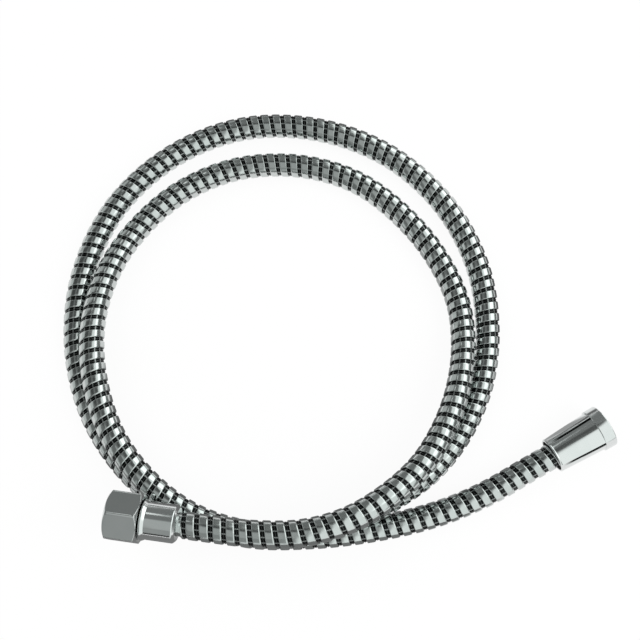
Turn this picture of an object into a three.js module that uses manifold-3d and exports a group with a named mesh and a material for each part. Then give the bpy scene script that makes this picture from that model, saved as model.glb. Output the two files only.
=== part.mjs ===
// Metal shower hose, lying in two loose turns: a banded casing round a rubber tube,
// a hexagonal union nut on one end and a conical one on the other.
// Millimetres, +Z up. The origin is under the middle of the whole hose, on its floor.
import * as THREE from "three";
import { mergeVertices } from "three/addons/utils/BufferGeometryUtils.js";
import Module from "manifold-3d";

const wasm = await Module();
wasm.setup();

// Clearances
const seatGap = 0.3; // between pieces that touch
const nutGap = 0.5; // the open joint between the hexagonal nut and the sleeve behind it

// Hose
const casingSides = 12;
const tubeSides = 8;
const hoseSteps = 76;
const straightAt = [0, -10, -19, -28]; // points of the straight stretch behind each end
const casingR = 7; // to the corners of its section
const casingWall = 1.4;
const tubeWall = 1.1;

// The inside of both ends
const insertSides = 32;
const barbCount = 3;
const barbPitch = 3.4;
const barbHeight = 0.5;
const barbPeak = 0.75; // where a barb is highest, as a share of the pitch
const barbFoot = 0.85; // where it has dropped back
const stemLength = 12;
const nippleWall = 0.8; // at the root of a barb
const neckR = 6.3;
const flangeR = 9;
const flangeThickness = 1.9;
const nippleEdge = 0.3;
const washerHoleR = 5.6;
const washerProud = 0.2; // how far the washer reaches past the flange
const washerThickness = 2.2;
const ferruleWall = 0.9;
const ferruleLip = 1.2;
const ferruleLength = 13;
const ringThickness = 1; // slide ring of the conical end

// The socket of both nuts
const nutSides = 40;
const threadR = 10.5;
const threadDepth = 6.6;
const mouthChamfer = 0.4;

// Hexagonal nut and its sleeve
const hexFlats = 24;
const hexLength = 17.2;
const hexEdgeRound = 1.6;
const hexChamfer = 0.62; // depth of the corners' chamfer for each millimetre inwards
const hexRimInset = 0.15; // from the flats in to the round edge of both end faces
const hexTurn = 3; // degrees from level to a corner
const sleeveR = 9.7;
const sleeveLength = 18.1;
const sleeveWeb = 1.3;
const sleeveTailLip = 1.3;
const beadHeight = 0.75;
const beadLength = 2.6;
const tailChamfer = 1.4;

// Conical nut
const collarR = 11.8;
const collarLength = 6.6;
const collarStep = 0.5; // how far the collar stands proud of the cone
const collarEdge = 0.35;
const coneLength = 33.4;
const coneTailR = 9.6;
const coneWeb = 2.4;
const panelCount = 4;
const panelFlat = 0.35; // how far the middle of a panel lies inside the round
const grooveWidth = 1.1;
const grooveDepth = 0.75;
const grooveRunOut = 3.5; // plain length between a groove and the narrow end
const panelTurn = 49; // degrees from level to the first groove
const tailLip = 0.9;
const tailLipProud = 0.15;
const tailLipRound = 0.5;

// Worked out from the sizes above. Radii first, then places along an end's own axis:
// 0 is the cut end of the hose and the open mouth of the nut lies on the plus side.
const casingBoreR = casingR - casingWall;
const tubeR = casingBoreR * Math.cos(Math.PI / casingSides) - seatGap;
const tubeBoreR = tubeR - tubeWall;
const barbR = tubeBoreR * Math.cos(Math.PI / tubeSides) - seatGap;
const stemR = barbR - barbHeight;
const nippleBoreR = stemR - nippleWall;
const neckHoleR = neckR + seatGap;
const ferruleBoreR = casingR + seatGap;
const ferruleR = ferruleBoreR + ferruleWall;
const ferruleSeatR = ferruleR + seatGap;
const washerR = flangeR + washerProud;
const washerSeatR = washerR + seatGap;

// The neck leaves room for the ferrule's lip, the sleeve's web and the hexagonal nut's.
const washerDepth = flangeThickness + seatGap + washerThickness;
const socketDepth = washerDepth + seatGap + threadDepth;
const hexWebs = ferruleLip + seatGap + sleeveWeb + nutGap;
const neckLength = hexWebs + hexLength - socketDepth;

const shoulderAt = seatGap;
const flangeBackAt = shoulderAt + neckLength;
const flangeFrontAt = flangeBackAt + flangeThickness;
const washerBackAt = flangeFrontAt + seatGap;
const washerFrontAt = washerBackAt + washerThickness;
const threadFootAt = washerFrontAt + seatGap;
const mouthAt = threadFootAt + threadDepth;
const ferruleFrontAt = shoulderAt + ferruleLip;
const hexBackAt = mouthAt - hexLength;
const sleeveFrontAt = hexBackAt - nutGap;
const sleeveTailAt = sleeveFrontAt - sleeveLength;
const ringFrontAt = flangeBackAt - seatGap;
const ringBackAt = ringFrontAt - ringThickness;
const coneWebFrontAt = ringBackAt - seatGap;
const coneWebBackAt = coneWebFrontAt - coneWeb;
const collarBackAt = mouthAt - collarLength;
const coneTailAt = mouthAt - coneLength;

// Where each end lies: the cut end of the hose, its heading from +X in the plan,
// and how far it rises along that heading.
const hexEnd = { x: -93.8, y: -111.7, z: 36.65, heading: 172.2, rise: -3.0 };
const coneEnd = { x: 129.5, y: -70.8, z: 10.9, heading: 29.2, rise: 4.0 };

// The free route between the straight ends, from the hexagonal nut to the conical one:
// over the pile, once round inside, once round outside, and out along the floor.
const route = [
  [-41.8, -118.3, 37.1],
  [-16.3, -117.8, 36.5],
  [7.2, -111.3, 35.0],
  [27.7, -99.3, 30.8],
  [45.7, -83.3, 25.8],
  [58.7, -63.8, 21.3],
  [67.7, -41.8, 17.1],
  [72.2, -17.3, 12.8],
  [70.7, 10.7, 8.5],
  [59.4, 38.0, 7.3],
  [40.2, 63.1, 7.1],
  [13.2, 84.2, 7.1],
  [-21.3, 94.2, 7.1],
  [-58.3, 91.7, 7.1],
  [-91.8, 75.7, 7.2],
  [-117.8, 48.2, 8.0],
  [-129.8, 21.2, 12.5],
  [-133.8, -6.8, 16.9],
  [-130.3, -35.8, 19.7],
  [-118.8, -66.3, 21.1],
  [-100.8, -89.8, 21.4],
  [-76.8, -107.8, 21.5],
  [-49.3, -117.3, 21.5],
  [-21.3, -118.8, 21.4],
  [7.2, -111.8, 20.5],
  [30.7, -99.8, 15.4],
  [51.7, -85.3, 9.5],
  [69.2, -64.8, 7.4],
  [82.2, -37.3, 7.1],
  [87.2, -5.3, 7.1],
  [83.2, 31.7, 7.1],
  [65.2, 69.7, 7.1],
  [33.7, 100.2, 7.1],
  [-7.8, 117.2, 7.1],
  [-52.3, 118.2, 7.1],
  [-93.8, 101.2, 7.1],
  [-126.3, 69.2, 7.1],
  [-143.8, 27.7, 7.1],
  [-145.3, -14.8, 7.1],
  [-133.8, -52.8, 7.1],
  [-111.8, -84.3, 7.1],
  [-82.8, -106.3, 7.1],
  [-48.3, -118.3, 7.1],
  [-12.3, -119.3, 7.1],
  [25.7, -114.8, 7.1],
  [56.7, -107.3, 7.2],
  [82.7, -96.8, 7.9],
];

// Materials
const finish = (color, metalness, roughness) =>
  new THREE.MeshStandardMaterial({ color, metalness, roughness });
const chrome = finish(0xc9cccd, 1, 0.12);
const bandedSteel = finish(0x9fa3a4, 1, 0.25);
const brass = finish(0xc8a85a, 1, 0.35);
const blackRubber = finish(0x17181a, 0, 0.8);
const blackPlastic = finish(0x222428, 0, 0.5);

// A closed geometry as a solid that can be joined and cut.
function solid(geometry) {
  const bare = geometry.index ? geometry.toNonIndexed() : geometry;
  const points = new THREE.BufferGeometry();
  points.setAttribute("position", bare.getAttribute("position").clone());
  const merged = mergeVertices(points, 1e-4);
  return new wasm.Manifold(
    new wasm.Mesh({
      numProp: 3,
      vertProperties: merged.attributes.position.array,
      triVerts: new Uint32Array(merged.index.array),
    }),
  );
}

function geometryOf(body) {
  const mesh = body.getMesh();
  const geometry = new THREE.BufferGeometry();
  const xyz = new THREE.BufferAttribute(mesh.vertProperties, mesh.numProp);
  geometry.setAttribute("position", xyz);
  geometry.setIndex(new THREE.BufferAttribute(mesh.triVerts, 1));
  geometry.computeVertexNormals();
  return geometry;
}

// A profile of [radius, place] pairs, turned about the end's axis.
function turned(profile, segments = nutSides) {
  const points = profile.map(([r, at]) => new THREE.Vector2(r, at));
  const first = points[0];
  const last = points[points.length - 1];
  if (first.x > 0 || last.x > 0) points.push(first.clone());
  return new THREE.LatheGeometry(points, segments).rotateX(Math.PI / 2);
}

// A skin through round outlines that all have the same number of points.
function lofted(sections) {
  const count = sections[0].outline.length;
  const xyz = [];
  const faces = [];
  for (const { at, outline } of sections) {
    for (const p of outline) xyz.push(p.x, p.y, at);
  }
  for (let s = 0; s + 1 < sections.length; s++) {
    for (let i = 0; i < count; i++) {
      const a = s * count + i;
      const b = s * count + ((i + 1) % count);
      faces.push(a, b, b + count, a, b + count, a + count);
    }
  }
  const low = xyz.length / 3;
  const high = low + 1;
  const top = (sections.length - 1) * count;
  xyz.push(0, 0, sections[0].at, 0, 0, sections[sections.length - 1].at);
  for (let i = 0; i < count; i++) {
    const j = (i + 1) % count;
    faces.push(low, j, i, high, top + i, top + j);
  }
  const geometry = new THREE.BufferGeometry();
  geometry.setAttribute("position", new THREE.Float32BufferAttribute(xyz, 3));
  geometry.setIndex(faces);
  return geometry;
}

// Section of a hose layer, with a flat side up and down.
function ringShape(sides, outerR, innerR) {
  const corners = (r) =>
    [...Array(sides).keys()].map((k) => {
      const angle = ((k + 0.5) / sides) * 2 * Math.PI;
      return new THREE.Vector2(r * Math.cos(angle), r * Math.sin(angle));
    });
  const shape = new THREE.Shape(corners(outerR));
  shape.holes.push(new THREE.Path(corners(innerR)));
  return shape;
}

// Frame of an end: its group has +Z out of the nut's mouth and the cut hose at 0.
function endGroup({ x, y, z, heading, rise }) {
  const group = new THREE.Group();
  group.position.set(x, y, z);
  group.rotation.order = "ZYX";
  group.rotation.set(
    0,
    THREE.MathUtils.degToRad(90 - rise),
    THREE.MathUtils.degToRad(heading),
  );
  group.updateMatrixWorld(true);
  return group;
}

const alongAxis = (group, at) => group.localToWorld(new THREE.Vector3(0, 0, at));

function mesh(name, geometry, material) {
  const made = new THREE.Mesh(geometry, material);
  made.name = name;
  return made;
}

// The hose itself
function hoseCurve(hexGroup, coneGroup) {
  const points = [
    ...straightAt.map((at) => alongAxis(hexGroup, at)),
    ...route.map((p) => new THREE.Vector3(...p)),
    ...[...straightAt].reverse().map((at) => alongAxis(coneGroup, at)),
  ];
  const curve = new THREE.CatmullRomCurve3(points);
  curve.arcLengthDivisions = 2000;
  return curve;
}

function hoseLayer(curve, sides, outerR, innerR) {
  const options = { steps: hoseSteps, extrudePath: curve };
  return new THREE.ExtrudeGeometry(ringShape(sides, outerR, innerR), options);
}

// Barbed insert: its stem grips the tube and its flange holds the nut.
function nipple() {
  const profile = [[nippleBoreR, -stemLength]];
  for (let k = 0; k < barbCount; k++) {
    const root = -stemLength + k * barbPitch;
    profile.push([stemR, root], [barbR, root + barbPeak * barbPitch]);
    profile.push([stemR, root + barbFoot * barbPitch]);
  }
  profile.push(
    [stemR, shoulderAt],
    [neckR, shoulderAt],
    [neckR, flangeBackAt],
    [flangeR, flangeBackAt],
    [flangeR, flangeFrontAt - nippleEdge],
    [flangeR - nippleEdge, flangeFrontAt],
    [nippleBoreR + nippleEdge, flangeFrontAt],
    [nippleBoreR, flangeFrontAt - nippleEdge],
  );
  return turned(profile, insertSides);
}

// Crimped tube that clamps the casing, with a lip between the hose and the neck.
function ferrule() {
  const tailAt = ferruleFrontAt - ferruleLength;
  return turned(
    [
      [neckHoleR, shoulderAt],
      [ferruleBoreR, shoulderAt],
      [ferruleBoreR, tailAt],
      [ferruleR, tailAt],
      [ferruleR, ferruleFrontAt],
      [neckHoleR, ferruleFrontAt],
    ],
    insertSides,
  );
}

function flatRing(innerR, outerR, backAt, frontAt) {
  return turned(
    [
      [innerR, backAt],
      [outerR, backAt],
      [outerR, frontAt],
      [innerR, frontAt],
    ],
    insertSides,
  );
}

const sealWasher = () => flatRing(washerHoleR, washerR, washerBackAt, washerFrontAt);
const slideRing = () => flatRing(neckHoleR, washerR, ringBackAt, ringFrontAt);

// Hollow that both nuts have inside, from behind the web to past the mouth.
function socketHollow(webFrontAt, webBackAt, tailR, tailAt) {
  const past = 1;
  return turned([
    [0, tailAt - past],
    [tailR, tailAt - past],
    [tailR, webBackAt],
    [neckHoleR, webBackAt],
    [neckHoleR, webFrontAt],
    [washerSeatR, webFrontAt],
    [washerSeatR, threadFootAt],
    [threadR, threadFootAt],
    [threadR, mouthAt - mouthChamfer],
    [threadR + mouthChamfer, mouthAt],
    [threadR + mouthChamfer, mouthAt + past],
    [0, mouthAt + past],
  ]);
}

function hexNut() {
  const flatR = hexFlats / 2;
  const cornerR = flatR / Math.cos(Math.PI / 6);
  const roundCentreR = (flatR - hexEdgeRound) / Math.cos(Math.PI / 6);
  const outline = new THREE.Shape();
  for (let k = 0; k < 6; k++) {
    const angle = (k * Math.PI) / 3;
    const centreX = roundCentreR * Math.cos(angle);
    const centreY = roundCentreR * Math.sin(angle);
    const half = Math.PI / 6;
    outline.absarc(centreX, centreY, hexEdgeRound, angle - half, angle + half);
  }
  outline.closePath();
  const bar = new THREE.ExtrudeGeometry(outline, {
    depth: hexLength,
    bevelEnabled: false,
    curveSegments: 4,
  }).translate(0, 0, hexBackAt);
  const edgeR = flatR - hexRimInset;
  const drop = (cornerR - edgeR) * hexChamfer;
  const past = 1;
  const turnedOff = turned([
    [0, hexBackAt - past],
    [edgeR, hexBackAt - past],
    [edgeR, hexBackAt],
    [cornerR, hexBackAt + drop],
    [cornerR, mouthAt - drop],
    [edgeR, mouthAt],
    [edgeR, mouthAt + past],
    [0, mouthAt + past],
  ]);
  const hollow = socketHollow(ringFrontAt, hexBackAt, neckHoleR, hexBackAt);
  return geometryOf(solid(bar).intersect(solid(turnedOff)).subtract(solid(hollow)));
}

// Smooth sleeve behind the hexagonal nut: a rounded bead in front, a closing lip behind.
function hexSleeve() {
  const beadSteps = 6;
  const bead = [];
  for (let k = 0; k <= beadSteps; k++) {
    const turn = (k / beadSteps) * Math.PI;
    const at = sleeveFrontAt - beadLength * (0.5 + 0.5 * Math.cos(turn));
    bead.push([sleeveR + beadHeight * Math.sin(turn), at]);
  }
  return turned([
    [neckHoleR, sleeveFrontAt - sleeveWeb],
    [ferruleSeatR, sleeveFrontAt - sleeveWeb],
    [ferruleSeatR, sleeveTailAt + sleeveTailLip],
    [ferruleBoreR, sleeveTailAt + sleeveTailLip],
    [ferruleBoreR, sleeveTailAt],
    [sleeveR - tailChamfer, sleeveTailAt],
    [sleeveR, sleeveTailAt + tailChamfer],
    ...bead,
    [sleeveR - beadHeight, sleeveFrontAt],
    [neckHoleR, sleeveFrontAt],
  ]);
}

// Cone of four gently curved panels, divided by grooves that run out to the narrow end.
function coneBody() {
  const panelR = collarR - collarStep;
  const span = collarBackAt - coneTailAt;
  const radiusAt = (at) =>
    coneTailR + ((panelR - coneTailR) * (at - coneTailAt)) / span;
  const perPanel = 10;
  const sections = [];
  const rings = 5;
  for (let s = 0; s <= rings; s++) {
    const share = s / rings;
    const at = coneTailAt + tailLip + (span - tailLip) * share;
    const outline = [];
    for (let i = 0; i < panelCount * perPanel; i++) {
      const across = (i % perPanel) / perPanel;
      const inward = panelFlat * share * (1 - (2 * across - 1) ** 2);
      const angle = (i / (panelCount * perPanel)) * 2 * Math.PI;
      const r = radiusAt(at) - inward;
      outline.push(new THREE.Vector2(r * Math.cos(angle), r * Math.sin(angle)));
    }
    sections.push({ at, outline });
  }
  let body = solid(lofted(sections));

  const startAt = coneTailAt + grooveRunOut;
  const above = 2;
  const side = new THREE.Shape([
    new THREE.Vector2(radiusAt(startAt), startAt),
    new THREE.Vector2(panelR - grooveDepth, collarBackAt),
    new THREE.Vector2(panelR + above, collarBackAt),
    new THREE.Vector2(radiusAt(startAt) + above, startAt),
  ]);
  for (let k = 0; k < panelCount; k++) {
    const blade = new THREE.ExtrudeGeometry(side, {
      depth: grooveWidth,
      bevelEnabled: false,
    });
    blade.translate(0, 0, -grooveWidth / 2).rotateX(Math.PI / 2);
    blade.rotateZ((k / panelCount) * 2 * Math.PI);
    body = body.subtract(solid(blade));
  }
  return body;
}

function coneNut() {
  const collar = turned([
    [0, collarBackAt],
    [collarR - collarEdge / 2, collarBackAt],
    [collarR, collarBackAt + collarEdge / 2],
    [collarR, mouthAt - collarEdge],
    [collarR - collarEdge, mouthAt],
    [0, mouthAt],
  ]);
  const lipR = coneTailR + tailLipProud;
  const inset = 1; // how far the lip reaches into the cone
  const roundSteps = 3;
  const lipRound = [];
  for (let k = 0; k <= roundSteps; k++) {
    const turn = ((k / roundSteps) * Math.PI) / 2;
    const inwards = tailLipRound * (1 - Math.sin(turn));
    lipRound.push([lipR - inwards, coneTailAt + tailLipRound * (1 - Math.cos(turn))]);
  }
  const lip = turned([
    [0, coneTailAt],
    ...lipRound,
    [lipR, coneTailAt + tailLip],
    [lipR - inset, coneTailAt + tailLip + inset],
    [0, coneTailAt + tailLip + inset],
  ]);
  const hollow = socketHollow(
    coneWebFrontAt,
    coneWebBackAt,
    ferruleSeatR,
    coneTailAt,
  );
  const outside = coneBody().add(solid(collar)).add(solid(lip));
  return geometryOf(outside.subtract(solid(hollow)));
}

// Assembly
const group = new THREE.Group();
const hexGroup = endGroup(hexEnd);
const coneGroup = endGroup(coneEnd);
const curve = hoseCurve(hexGroup, coneGroup);
const casing = hoseLayer(curve, casingSides, casingR, casingBoreR);
const tube = hoseLayer(curve, tubeSides, tubeR, tubeBoreR);

group.add(
  mesh("outer_casing", casing, bandedSteel),
  mesh("inner_tube", tube, blackRubber),
  hexGroup,
  coneGroup,
);

const hexTurned = mesh("hex_union_nut", hexNut(), chrome);
hexTurned.rotation.z = THREE.MathUtils.degToRad(hexTurn);
hexGroup.add(
  hexTurned,
  mesh("hex_end_sleeve", hexSleeve(), chrome),
  mesh("hex_end_ferrule", ferrule(), brass),
  mesh("hex_end_nipple", nipple(), brass),
  mesh("hex_end_washer", sealWasher(), blackRubber),
);

const coneTurned = mesh("conical_nut", coneNut(), chrome);
coneTurned.rotation.z = THREE.MathUtils.degToRad(panelTurn);
coneGroup.add(
  coneTurned,
  mesh("cone_slide_ring", slideRing(), blackPlastic),
  mesh("cone_end_ferrule", ferrule(), brass),
  mesh("cone_end_nipple", nipple(), brass),
  mesh("cone_end_washer", sealWasher(), blackRubber),
);

export default group;
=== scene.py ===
# Metal shower hose, dressed for its picture: banded casing, a hexagonal and a conical union nut,
# and the inserts inside them. Metres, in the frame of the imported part.
import bpy
import bmesh
import math
import numpy as np
from mathutils import Matrix, Vector


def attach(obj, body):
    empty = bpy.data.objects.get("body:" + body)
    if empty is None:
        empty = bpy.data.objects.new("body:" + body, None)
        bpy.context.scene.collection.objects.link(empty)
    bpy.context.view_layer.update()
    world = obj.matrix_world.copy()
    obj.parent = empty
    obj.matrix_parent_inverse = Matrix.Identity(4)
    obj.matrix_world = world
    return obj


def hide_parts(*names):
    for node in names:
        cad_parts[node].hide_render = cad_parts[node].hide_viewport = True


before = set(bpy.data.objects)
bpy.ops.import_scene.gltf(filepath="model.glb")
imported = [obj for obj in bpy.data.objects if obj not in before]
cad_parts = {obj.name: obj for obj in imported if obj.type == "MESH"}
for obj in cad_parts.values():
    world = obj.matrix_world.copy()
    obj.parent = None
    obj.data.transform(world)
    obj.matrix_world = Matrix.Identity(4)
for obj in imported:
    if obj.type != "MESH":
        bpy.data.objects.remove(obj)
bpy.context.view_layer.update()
print("frame loaded")

# Camera
cameraView = {
    "lens": 50.0,
    "sensor": 36.0,
    "clipStart": 0.01,
    "target": (-0.00755, 0.0017, 0.0),
    "distance": 0.512,
    "tilt": 14.0,  # degrees from straight down
}


def makeCamera(settings):
    data = bpy.data.cameras.new("pictureCamera")
    data.lens = settings["lens"]
    data.sensor_width = settings["sensor"]
    data.clip_start = settings["clipStart"]
    camera = bpy.data.objects.new("pictureCamera", data)
    bpy.context.scene.collection.objects.link(camera)
    tilt = math.radians(settings["tilt"])
    back = Vector((0.0, -math.sin(tilt), math.cos(tilt)))
    camera.location = Vector(settings["target"]) + back * settings["distance"]
    camera.rotation_euler = (tilt, 0.0, 0.0)
    bpy.context.scene.camera = camera


makeCamera(cameraView)
print("camera placed")

# Where both ends lie, and the points that the hose follows between them
hexEnd = {"at": (-0.0938, -0.1117, 0.03665), "heading": 172.2, "rise": -3.0}
coneEnd = {"at": (0.1295, -0.0708, 0.0109), "heading": 29.2, "rise": 4.0}
straightAt = (0.0, -0.010, -0.019, -0.028)
routePoints = [
    (-0.0418, -0.1183, 0.0371),
    (-0.0163, -0.1178, 0.0365),
    (0.0072, -0.1113, 0.0350),
    (0.0277, -0.0993, 0.0308),
    (0.0457, -0.0833, 0.0258),
    (0.0587, -0.0638, 0.0213),
    (0.0677, -0.0418, 0.0171),
    (0.0722, -0.0173, 0.0128),
    (0.0707, 0.0107, 0.0085),
    (0.0594, 0.0380, 0.0073),
    (0.0402, 0.0631, 0.0071),
    (0.0132, 0.0842, 0.0071),
    (-0.0213, 0.0942, 0.0071),
    (-0.0583, 0.0917, 0.0071),
    (-0.0918, 0.0757, 0.0072),
    (-0.1178, 0.0482, 0.0080),
    (-0.1298, 0.0212, 0.0125),
    (-0.1338, -0.0068, 0.0169),
    (-0.1303, -0.0358, 0.0197),
    (-0.1188, -0.0663, 0.0211),
    (-0.1008, -0.0898, 0.0214),
    (-0.0768, -0.1078, 0.0215),
    (-0.0493, -0.1173, 0.0215),
    (-0.0213, -0.1188, 0.0214),
    (0.0072, -0.1118, 0.0205),
    (0.0307, -0.0998, 0.0154),
    (0.0517, -0.0853, 0.0095),
    (0.0692, -0.0648, 0.0074),
    (0.0822, -0.0373, 0.0071),
    (0.0872, -0.0053, 0.0071),
    (0.0832, 0.0317, 0.0071),
    (0.0652, 0.0697, 0.0071),
    (0.0337, 0.1002, 0.0071),
    (-0.0078, 0.1172, 0.0071),
    (-0.0523, 0.1182, 0.0071),
    (-0.0938, 0.1012, 0.0071),
    (-0.1263, 0.0692, 0.0071),
    (-0.1434, 0.0277, 0.0071),  # this point and the next lie 0.4 mm inside the CAD's line
    (-0.1449, -0.0148, 0.0071),
    (-0.1338, -0.0528, 0.0071),
    (-0.1118, -0.0843, 0.0071),
    (-0.0828, -0.1063, 0.0071),
    (-0.0483, -0.1183, 0.0071),
    (-0.0123, -0.1193, 0.0071),
    (0.0257, -0.1148, 0.0071),
    (0.0567, -0.1073, 0.0072),
    (0.0827, -0.0968, 0.0079),
]


def endMatrix(end, turn=0.0):
    # Local +Z points out of the nut's mouth, and 0 is the cut end of the hose
    place = Matrix.Translation(Vector(end["at"]))
    heading = Matrix.Rotation(math.radians(end["heading"]), 4, "Z")
    lean = Matrix.Rotation(math.radians(90.0 - end["rise"]), 4, "Y")
    return place @ heading @ lean @ Matrix.Rotation(math.radians(turn), 4, "Z")


def centripetal(points, steps=24):
    # Centripetal Catmull-Rom curve through the points
    line = []
    count = len(points)
    for i in range(count - 1):
        p1, p2 = points[i], points[i + 1]
        p0 = points[i - 1] if i > 0 else 2 * p1 - p2
        p3 = points[i + 2] if i + 2 < count else 2 * p2 - p1
        pairs = ((p1, p0), (p2, p1), (p3, p2))
        d0, d1, d2 = (math.sqrt(np.linalg.norm(b - a)) for a, b in pairs)
        m1 = ((p1 - p0) / d0 - (p2 - p0) / (d0 + d1) + (p2 - p1) / d1) * d1
        m2 = ((p2 - p1) / d1 - (p3 - p1) / (d1 + d2) + (p3 - p2) / d2) * d1
        for k in range(steps):
            t = k / steps
            line.append(
                (2 * t**3 - 3 * t * t + 1) * p1
                + (t**3 - 2 * t * t + t) * m1
                + (3 * t * t - 2 * t**3) * p2
                + (t**3 - t * t) * m2
            )
    line.append(points[-1])
    return np.array(line)


def hoseLine():
    hexStretch = [endMatrix(hexEnd) @ Vector((0, 0, at)) for at in straightAt]
    coneStretch = [endMatrix(coneEnd) @ Vector((0, 0, at)) for at in reversed(straightAt)]
    points = [np.array(p, dtype=float) for p in [*hexStretch, *routePoints, *coneStretch]]
    return centripetal(points)


centreLine = hoseLine()
hoseLength = float(np.linalg.norm(np.diff(centreLine, axis=0), axis=1).sum())
print("hose line", round(hoseLength, 4), "m")


# Helpers for node trees
def put(tree, kind, feeds=None, **settings):
    node = tree.nodes.new(kind)
    for key, value in settings.items():
        setattr(node, key, value)
    for key, value in (feeds or {}).items():
        if isinstance(value, bpy.types.NodeSocket):
            tree.links.new(value, node.inputs[key])
        else:
            node.inputs[key].default_value = value
    return node


def calc(tree, operation, *values):
    return put(tree, "ShaderNodeMath", dict(enumerate(values)), operation=operation).outputs[0]


def vectorCalc(tree, operation, *values):
    node = put(tree, "ShaderNodeVectorMath", dict(enumerate(values)), operation=operation)
    return node.outputs["Value" if operation == "DOT_PRODUCT" else "Vector"]


def scaled(tree, vector, factor):
    feeds = {0: vector, "Scale": factor}
    return put(tree, "ShaderNodeVectorMath", feeds, operation="SCALE").outputs["Vector"]


def newTree(name, kind, inputs, outputs):
    tree = bpy.data.node_groups.new(name, kind)
    for label, socket in outputs:
        tree.interface.new_socket(label, in_out="OUTPUT", socket_type="NodeSocket" + socket)
    for label, socket in inputs:
        tree.interface.new_socket(label, in_out="INPUT", socket_type="NodeSocket" + socket)
    return tree


def setInputs(modifier, values):
    # A modifier's inputs are set by their sockets' identifiers
    for item in modifier.node_group.interface.items_tree:
        if item.item_type == "SOCKET" and item.in_out == "INPUT" and item.name in values:
            modifier[item.identifier] = values[item.name]


# Helpers for meshes
def newObject(name, vertices, edges, faces):
    mesh = bpy.data.meshes.new(name)
    mesh.from_pydata([tuple(v) for v in vertices], edges, faces)
    made = bpy.data.objects.new(name, mesh)
    bpy.context.scene.collection.objects.link(made)
    return made


def plainMesh(piece):
    # What the modifiers make becomes the piece's own mesh, and the modifiers go
    bpy.context.view_layer.update()
    ready = piece.evaluated_get(bpy.context.evaluated_depsgraph_get())
    mesh = bpy.data.meshes.new_from_object(ready)
    piece.modifiers.clear()
    old = piece.data
    piece.data = mesh
    bpy.data.meshes.remove(old)
    mesh.name = piece.name
    return mesh


normals = {"sharpDegrees": 50.0, "weight": 80}


def finishNormals(piece):
    # Broad faces keep their own direction, and narrow ones at the edges carry the change
    piece.data.shade_smooth()
    piece.data.set_sharp_from_angle(angle=math.radians(normals["sharpDegrees"]))
    weighted = piece.modifiers.new("weighted", "WEIGHTED_NORMAL")
    weighted.keep_sharp = True
    weighted.weight = normals["weight"]
    plainMesh(piece)


def dress(piece, finish):
    piece.data.materials.append(materials[finish])
    finishNormals(piece)


# Materials: the tint is the smudges', and lines, smudges and folds add to the roughness
# Colour that painted shade darkens metal towards: in recesses, in the cone nut's grooves and in the
# casing's folds
paintedShadeColour = (0.012, 0.013, 0.013, 1.0)
softLook = {"smudgeRough": 0.12, "smudgeScale": 160.0, "bumpStrength": 0.4}
turnedLook = {"smudgeRough": 0.035, "smudgeScale": 90.0, "bumpStrength": 0.25}
finishes = {
    "fittingChrome": {
        **turnedLook,
        "colour": (0.74, 0.76, 0.755, 1.0),
        "tint": (0.70, 0.73, 0.725, 1.0),
        "roughness": 0.09,
        "lineRough": 0.03,
        "lineScale": (5.0, 900.0, 1.0),
        "bumpHeight": 0.00001,
    },
    "casingChrome": {
        "colour": (0.60, 0.63, 0.62, 1.0),
        "tint": (0.55, 0.585, 0.575, 1.0),
        "roughness": 0.12,
        "lineRough": 0.05,
        "foldRough": 0.30,
        "lineScale": (9000.0, 14.0, 1.0),
        "smudgeScale": 70.0,
        "bumpStrength": 0.2,
        "bumpHeight": 0.00002,
        "foldShadeDepths": (0.28, 0.80),  # depths of a fold where its painted shade begins and is full
        "wornFolds": (0.30, 0.95),
        "tickWidth": (0.16, 0.30),  # from a corner's middle, as shares of its width
        "tickLight": 0.55,
    },
    "turnedBrass": {
        **turnedLook,
        "colour": (0.62, 0.47, 0.20, 1.0),
        "tint": (0.54, 0.39, 0.16, 1.0),
        "roughness": 0.28,
        "lineRough": 0.12,
        "lineScale": (3.0, 500.0, 1.0),
        "bumpHeight": 0.00004,
    },
    "sealRubber": {
        **softLook,
        "colour": (0.035, 0.035, 0.038, 1.0),
        "tint": (0.05, 0.05, 0.052, 1.0),
        "roughness": 0.62,
        "grainScale": 2500.0,
        "bumpHeight": 0.00003,
    },
    "linerRubber": {
        **softLook,
        "colour": (0.030, 0.030, 0.032, 1.0),
        "tint": (0.022, 0.022, 0.024, 1.0),
        "roughness": 0.45,
        "grainScale": 1800.0,
        "bumpHeight": 0.00002,
    },
    "slidePlastic": {
        **softLook,
        "colour": (0.70, 0.70, 0.68, 1.0),
        "tint": (0.64, 0.64, 0.61, 1.0),
        "roughness": 0.42,
        "grainScale": 1500.0,
        "bumpHeight": 0.00001,
    },
}


def marksGroup():
    # Hair-thin lines along one direction, and broad faint smudges
    tree = newTree(
        "fineMarks",
        "ShaderNodeTree",
        [
            ("Surface", "Vector"),
            ("Space", "Vector"),
            ("Line scale", "Vector"),
            ("Smudge scale", "Float"),
        ],
        [("Lines", "Float"), ("Smudges", "Float")],
    )
    group = put(tree, "NodeGroupInput").outputs
    stretched = vectorCalc(tree, "MULTIPLY", group["Surface"], group["Line scale"])
    feeds = {"Vector": stretched, "Scale": 1.0, "Detail": 3.0, "Roughness": 0.6}
    lines = put(tree, "ShaderNodeTexNoise", feeds).outputs["Fac"]
    feeds = {"Vector": group["Space"], "Scale": group["Smudge scale"], "Detail": 2.0}
    cloud = put(tree, "ShaderNodeTexNoise", feeds).outputs["Fac"]
    feeds = {"Value": cloud, "From Min": 0.42, "From Max": 0.72}
    smudges = put(tree, "ShaderNodeMapRange", feeds).outputs["Result"]
    put(tree, "NodeGroupOutput", {"Lines": lines, "Smudges": smudges})
    return tree


fineMarks = marksGroup()


def emptyMaterial(name):
    material = bpy.data.materials.new(name)
    material.use_nodes = True
    material.node_tree.nodes.clear()
    return material, material.node_tree


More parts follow.
